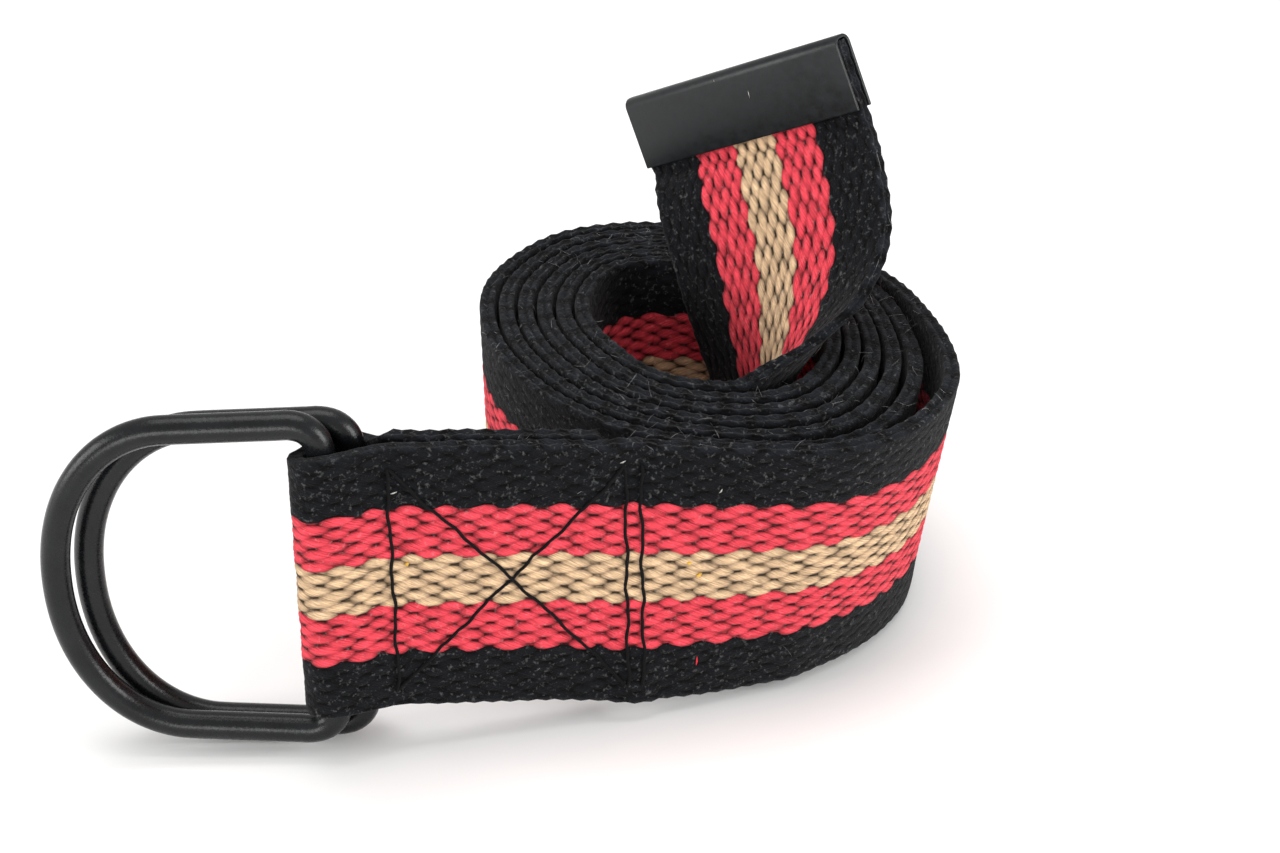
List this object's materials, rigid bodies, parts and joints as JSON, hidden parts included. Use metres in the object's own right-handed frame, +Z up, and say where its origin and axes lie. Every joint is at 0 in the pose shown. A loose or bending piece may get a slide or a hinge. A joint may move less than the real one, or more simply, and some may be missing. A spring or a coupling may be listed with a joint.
{
  "type": "belt",
  "caption": "Striped webbing belt coiled on its edge, with round-wire D-rings in its folded end and a black metal tip on the free end.",
  "frame": {"origin": "middle of the footprint, on the surface that the coil stands on", "axes": "+X along the tail from the rings to the coil, +Y away from the viewer, +Z up"},
  "size_m": [0.1166, 0.0846, 0.0769],
  "materials": {
    "webbing": "woven",
    "ring_steel": "satin",
    "tip_metal": "satin"
  },
  "bodies": {
    "belt": {"webbing_strap": "webbing", "end_tip": "tip_metal"},
    "front_ring": {"ring_front": "ring_steel"},
    "back_ring": {"ring_back": "ring_steel"}
  },
  "joints": [
    {"name": "front_ring_swing", "type": "hinge", "parent": "belt", "child": "front_ring", "pos_m": [-0.02273, -0.03825, 0.02575], "axis": [0, 0, 1], "range_deg": [0, 150]},
    {"name": "back_ring_swing", "type": "hinge", "parent": "belt", "child": "back_ring", "pos_m": [-0.01954, -0.03425, 0.02415], "axis": [0, 0, 1], "range_deg": [-100, 0]}
  ]
}
